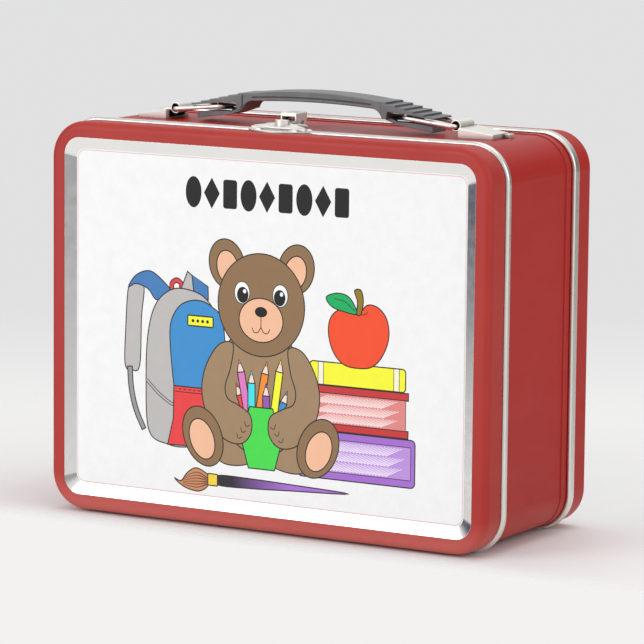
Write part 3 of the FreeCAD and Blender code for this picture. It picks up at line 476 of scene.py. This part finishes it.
def head(art):
    middle = -2.5
    for side in (-1, 1):
        art.shape(ellipse(middle + side * 16.9, 28.0, 8.6, 10.6, side * -14), "bear")
        art.shape(ellipse(middle + side * 16.5, 26.6, 5.2, 7.2, side * -14), "peach")
    art.shape(ellipse(middle, 11.8, 21.1, 21.7), "bear")
    for side in (-1, 1):
        eye = (middle + side * 9.3, 16.4)
        art.shape(ellipse(*eye, 3.7, 4.7), "white", 0.34)
        art.fill(ellipse(eye[0] - side * 0.3, eye[1] - 0.9, 2.8, 3.4), "letter")
        art.fill(ellipse(eye[0] - side * 0.3 + 0.9, eye[1] + 0.7, 0.8, 0.9), "white")
    art.shape(ellipse(middle, 5.4, 10.7, 9.3), "peach")
    art.fill(ellipse(middle, 8.9, 3.0, 2.2), "letter")
    art.stroke([(middle, 7.2), (middle, 2.4)], 0.4)
    mouth = [(4.4, 2.0), (3.2, 0.1), (1.4, 0.3), (0.0, 2.4)]
    for side in (-1, 1):
        art.stroke(smooth([(middle + side * x, y) for x, y in mouth], False), 0.4)


def pencils(art):
    """A row of pencils behind the rim of a tapering pot."""
    low = -33.0
    for tip_x, tip_y, foot_x, width, colour in (
            (-14.6, -22.0, -9.6, 3.3, "red"), (-13.2, -12.0, -8.6, 3.5, "pink"),
            (0.6, -11.8, -3.4, 3.5, "orange"), (-7.0, -16.2, -6.8, 3.5, "cyan"),
            (0.2, -21.0, 0.4, 3.4, "purple"), (10.6, -23.4, 6.6, 3.3, "blue"),
            (7.4, -10.4, 4.0, 3.5, "yellow")):
        pencil(art, (tip_x, tip_y), (foot_x, low - 2), width, colour)
    pot = [(-7.8, -31.6), (3.6, -31.6), (7.6, -47.0), (4.6, -57.8), (-8.2, -57.8), (-11.6, -46.4)]
    art.shape(pot, "green")


def brush(art):
    """An artist's brush lying below the bear."""
    tuft = [(-44.8, -65.8), (-41.6, -66.6), (-38.6, -63.0), (-34.4, -60.4), (-29.6, -61.8), (-27.6, -64.0),
            (-28.4, -67.8), (-32.4, -70.2), (-37.6, -69.8), (-41.8, -68.2)]
    art.shape(smooth(tuft), "hair")
    for number in range(6):
        y = -62.2 - 1.3 * number
        art.stroke(smooth([(-28.6, -64.0 - 0.6 * number), (-34.0, y), (-40.6, -65.4 - 0.5 * number)], False),
                   0.45, "hair_line", 0.4)
    art.shape(smooth([(-23.4, -62.6), (-8.0, -62.4), (12.0, -62.9), (41.0, -64.0), (12.0, -65.6),
                      (-8.0, -66.6), (-23.4, -66.6)], steps=5), "handle_fade")
    art.shape(box(-28.2, -67.2, -23.4, -62.2, 0.3), "ferrule")


INKS = {
    "paper": (246, 246, 246), "line": (52, 48, 44), "letter": (34, 34, 35), "white": (252, 252, 252),
    "bear": (146, 116, 84), "bear_light": (164, 136, 104), "peach": (246, 192, 157),
    "grey": (192, 189, 187), "grey_dark": (158, 156, 155), "blue": (66, 146, 208),
    "strap_blue": (74, 128, 188), "red": (236, 70, 72), "yellow": (250, 249, 60), "cream": (248, 246, 220),
    "green": (76, 222, 82), "pink": (226, 128, 198), "cyan": (72, 230, 240), "orange": (248, 148, 52),
    "purple": (152, 92, 182), "wood": (248, 224, 206), "violet": (168, 114, 210), "lilac": (192, 150, 224),
    "lilac_line": (240, 226, 250), "book_red": (203, 60, 64), "rose": (228, 140, 138),
    "rose_line": (252, 224, 222), "apple": (247, 84, 48), "leaf": (28, 178, 100), "stem": (150, 124, 42),
    "hairline": (226, 196, 192), "ferrule": (248, 214, 70), "hair": (205, 142, 104),
    "hair_line": (84, 52, 34),
}


CORNER_STEPS = 8


def border(art):
    """A faint reddish hairline just inside the frame's inner edge."""
    half_w, half_h, hair = 94.4, 72.0, 0.35
    art.fill(box(-half_w, -half_h, half_w, half_h, 3.8, CORNER_STEPS), "hairline")
    inner = box(hair - half_w, hair - half_h, half_w - hair, half_h - hair, 3.5, CORNER_STEPS)
    art.fill(inner, "paper")


def draw_picture():
    art = Artwork()
    border(art)
    for part in (name_marks, backpack, books, apple, teddy, head, brush):
        part(art)
    return art.layers


def printed_panel():
    """The front panel as one closed sheet whose front is cut into its printed colours."""
    low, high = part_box("front_plate")
    middle = Vector(((low.x + high.x) / 2, 0, (low.z + high.z) / 2))
    half_w, half_h = (high.x - low.x) / 2 / MM, (high.z - low.z) / 2 / MM
    sheet = box(-half_w, -half_h, half_w, half_h, 4.0, CORNER_STEPS)
    layers = [(sheet, "paper")] + draw_picture()
    points, faces = [], []
    for shape, _ in layers:
        faces.append(list(range(len(points), len(points) + len(shape))))
        points += [Vector(spot) for spot in wound(shape)]
    inside_only, tolerance = 1, 1e-4
    spots, _, cells, _, _, owners = delaunay_2d_cdt(points, [], faces, inside_only, tolerance)
    names = list(INKS) + ["handle_fade"]
    mesh = bpy.data.meshes.new("printed_front_panel")
    form = bmesh.new()
    front = [form.verts.new((middle.x + spot.x * MM, low.y, middle.z + spot.y * MM)) for spot in spots]
    for cell, owner in zip(cells, owners):
        if owner:
            face = form.faces.new([front[index] for index in cell])
            face.material_index = names.index(layers[max(owner)][1])
    rim = [edge for edge in form.edges if edge.is_boundary]
    walls = bmesh.ops.extrude_edge_only(form, edges=rim)["geom"]
    back = [item for item in walls if isinstance(item, bmesh.types.BMVert)]
    for vertex in back:
        vertex.co.y = high.y
    loop = [item for item in walls if isinstance(item, bmesh.types.BMEdge) and item.is_boundary]
    bmesh.ops.contextual_create(form, geom=loop)
    loose = [vertex for vertex in form.verts if not vertex.link_faces]
    bmesh.ops.delete(form, geom=loose, context="VERTS")
    bmesh.ops.recalc_face_normals(form, faces=form.faces)
    form.to_mesh(mesh)
    form.free()
    for name in INKS:
        mesh.materials.append(ink(name, INKS[name]))
    mesh.materials.append(faded_ink("handle_fade", (52, 50, 54), (172, 116, 214), -16.0, 12.0))
    panel = bpy.data.objects.new("printed_front_panel", mesh)
    bpy.context.scene.collection.objects.link(panel)
    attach(panel, "lid")
    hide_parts("front_plate")


# ------------------------------------------------------------------ materials on the CAD pieces

def dress(node, material):
    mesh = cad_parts[node].data
    mesh.materials.clear()
    mesh.materials.append(material)


def dress_nodes():
    red = enamel("red_enamel_visual", linear(172, 32, 25), linear(186, 74, 64), linear(165, 27, 20))
    satin = enamel("lid_enamel_visual", linear(175, 52, 45), linear(198, 100, 92), linear(169, 44, 37))
    trim = bright_metal("bright_trim_visual", linear(232, 230, 224), linear(216, 213, 206), 0.26, 0.34)
    bevel = bright_metal("bevel_visual", linear(242, 241, 238), linear(230, 229, 226), 0.13, 0.19)
    # the nickel parts get painted shade in their narrow gaps
    plated = bright_metal("nickel_visual", linear(240, 237, 230), linear(214, 210, 201), 0.34, 0.46,
                          stretch=(1, 4, 1), edge_radius=0.0003, metallic=0.6, gap_shade_colour=linear(46, 42, 32))
    steel = bright_metal("steel_visual", linear(176, 176, 176), linear(120, 118, 116), 0.3, 0.5,
                         stretch=(1, 5, 1), edge_radius=0.0003)
    plastic = grip_plastic()
    white = print_finish(*plain_white())
    groups = {
        red: ("body_band", "back_shell"),
        satin: ("lid_shell",),
        trim: ("mouth_bead", "seam_bead"),
        bevel: ("lid_bezel", "back_bezel"),
        plated: ("catch_plate", "latch_base", "latch_lever", "left_mount", "right_mount", "left_link",
                 "right_link", "catch_rivets", "latch_rivets", "left_mount_rivets", "right_mount_rivets"),
        steel: ("lid_hinge_leaf", "body_hinge_leaf", "hinge_pin", "latch_pin", "handle_core_strap",
                "latch_backing_plate", "left_backing_plate", "right_backing_plate", "lid_hinge_rivets",
                "body_hinge_rivets"),
        plastic: ("handle_grip",),
        white: ("back_plate",),
    }
    for material, nodes in groups.items():
        for node in nodes:
            dress(node, material)


def plain_white():
    n = Nodes("white_sheet_visual")
    film = n.noise(120.0, 4.0, 0.6)
    colour = n.mix(n.remap(film, "Fac", 0.35, 0.7, 0.0, 1.0), "Result", linear(247, 247, 247),
                   linear(244, 244, 244))
    return n, colour, MIXED


# ------------------------------------------------------------------ studio

FLOOR_RADIUS = 0.42
FLOOR_WHOLE = 0.14
FRONT_CLEAR, FRONT_WHOLE = -0.07, -0.047
SURROUND = (225, 225, 226)


def floor_material():
    """Pale matt floor, open from below. It fades with distance, and soon in front: the lid opens lower."""
    n = Nodes("floor_visual")
    grain = n.noise(30.0, 3.0)
    colour = n.mix(grain, "Fac", linear(240, 239, 238), linear(236, 236, 235))
    n.link(colour, MIXED, n.shader, "Base Color")
    n.constant(Roughness=0.8, Specular_IOR_Level=0.1)
    spot = n.add("SeparateXYZ")
    n.link(n.place, "Object", spot, "Vector")
    radius = n.add("VectorMath", operation="LENGTH")
    n.link(n.place, "Object", radius, 0)
    fade = n.add("Math", operation="MAXIMUM")
    n.link(n.remap(radius, "Value", FLOOR_WHOLE, FLOOR_RADIUS, 0.0, 1.0), "Result", fade, 0)
    n.link(n.remap(spot, "Y", FRONT_CLEAR, FRONT_WHOLE, 1.0, 0.0), "Result", fade, 1)
    open_below = n.add("Math", operation="MAXIMUM")
    n.link(fade, "Value", open_below, 0)
    n.link(n.add("NewGeometry"), "Backfacing", open_below, 1)
    clear = n.add("BsdfTransparent")
    blend = n.add("MixShader")
    n.link(open_below, "Value", blend, 0)
    n.link(n.shader, "BSDF", blend, 1)
    n.link(clear, "BSDF", blend, 2)
    n.link(blend, "Shader", n.output, "Surface")
    return n.material


def floor_disc():
    """A round pale floor under the box."""
    mesh = bpy.data.meshes.new("floor_disc")
    form = bmesh.new()
    bmesh.ops.create_circle(form, cap_ends=True, segments=96, radius=FLOOR_RADIUS)
    form.to_mesh(mesh)
    form.free()
    mesh.materials.append(floor_material())
    floor = bpy.data.objects.new("floor_disc", mesh)
    bpy.context.scene.collection.objects.link(floor)


def area_light(name, place, target, size, power):
    data = bpy.data.lights.new(name, "AREA")
    data.shape = "RECTANGLE"
    data.size, data.size_y = size
    data.energy = power
    light = bpy.data.objects.new(name, data)
    light.location = place
    light.rotation_euler = (Vector(target) - Vector(place)).to_track_quat("-Z", "Y").to_euler()
    light.visible_camera = False
    bpy.context.scene.collection.objects.link(light)


def toned(tree, toward, start, end, rgb, under):
    """A surround colour that takes over from the one under it in the directions near a given one."""
    direction = tree.nodes.new("ShaderNodeTexCoord")
    side = tree.nodes.new("ShaderNodeVectorMath")
    side.operation = "DOT_PRODUCT"
    side.inputs[1].default_value = toward
    lobe = tree.nodes.new("ShaderNodeMapRange")
    lobe.interpolation_type = "SMOOTHSTEP"
    lobe.inputs["From Min"].default_value = start
    lobe.inputs["From Max"].default_value = end
    mix = tree.nodes.new("ShaderNodeMix")
    mix.data_type = "RGBA"
    mix.inputs[MIX_FIRST].default_value = linear(*SURROUND)
    mix.inputs[MIX_SECOND].default_value = linear(*rgb)
    tree.links.new(direction.outputs["Generated"], side.inputs[0])
    tree.links.new(side.outputs["Value"], lobe.inputs["Value"])
    tree.links.new(lobe.outputs["Result"], mix.inputs[MIX_FACTOR])
    if under:
        tree.links.new(under.outputs[MIXED], mix.inputs[MIX_FIRST])
    return mix


def backdrop():
    """A pale sweep, brighter below. Reflections also meet a dark left, a grey front and a dim back right."""
    world = bpy.data.worlds.new("studio_world")
    bpy.context.scene.world = world
    world.use_nodes = True
    tree = world.node_tree
    below = ((0.0, 0.0, -1.0), 0.135, 0.175, (243, 242, 241))
    sides = None
    for toward, start, rgb in (((-0.98, -0.12, 0.0), 0.8, (60, 66, 88)),
                               ((0.38, -0.92, 0.0), 0.9, (150, 151, 153)),
                               ((0.6, 0.8, 0.0), 0.7, (112, 110, 104))):
        sides = toned(tree, toward, start, 1.0, rgb, sides)
    seen = tree.nodes.new("ShaderNodeLightPath")
    choice = tree.nodes.new("ShaderNodeMix")
    choice.data_type = "RGBA"
    tree.links.new(seen.outputs["Is Camera Ray"], choice.inputs[MIX_FACTOR])
    tree.links.new(toned(tree, *below, sides).outputs[MIXED], choice.inputs[MIX_FIRST])
    tree.links.new(toned(tree, *below, None).outputs[MIXED], choice.inputs[MIX_SECOND])
    tree.links.new(choice.outputs[MIXED], tree.nodes["Background"].inputs["Color"])


def studio():
    backdrop()
    area_light("key_light", (-0.95, -1.65, 0.66), (0, 0, 0.1), (1.1, 1.3), 13.0)
    area_light("fill_light", (1.5, -0.35, 0.75), (0, 0, 0.08), (0.9, 0.9), 4.0)
    area_light("top_light", (0.15, 0.45, 1.7), (0.1, 0.3, 0.0), (1.2, 1.2), 7.0)


def camera():
    """A long lens from the front right, slightly above, as in the catalogue view."""
    azimuth, elevation, roll = (math.radians(angle) for angle in (30.13, 8.3, 0.55))
    target = Vector((0.0284, -0.0455, 0.0926))
    distance = 1.692
    back = Vector((math.sin(azimuth) * math.cos(elevation), -math.cos(azimuth) * math.cos(elevation),
                   math.sin(elevation)))
    right = (-back).cross(Vector((0, 0, 1))).normalized()
    up = right.cross(-back)
    across = right * math.cos(roll) + up * math.sin(roll)
    above = up * math.cos(roll) - right * math.sin(roll)
    data = bpy.data.cameras.new("camera")
    data.lens = 228.5
    data.sensor_width = 36.0
    data.clip_start, data.clip_end = 0.05, 20.0
    eye = bpy.data.objects.new("camera", data)
    eye.matrix_world = Matrix((
        (across.x, above.x, back.x, 0), (across.y, above.y, back.y, 0), (across.z, above.z, back.z, 0),
        (0, 0, 0, 1)))
    eye.location = target + back * distance
    bpy.context.scene.collection.objects.link(eye)
    bpy.context.scene.camera = eye


dress_nodes()
printed_panel()
floor_disc()
studio()
camera()
bpy.context.scene.view_settings.view_transform = "Standard"
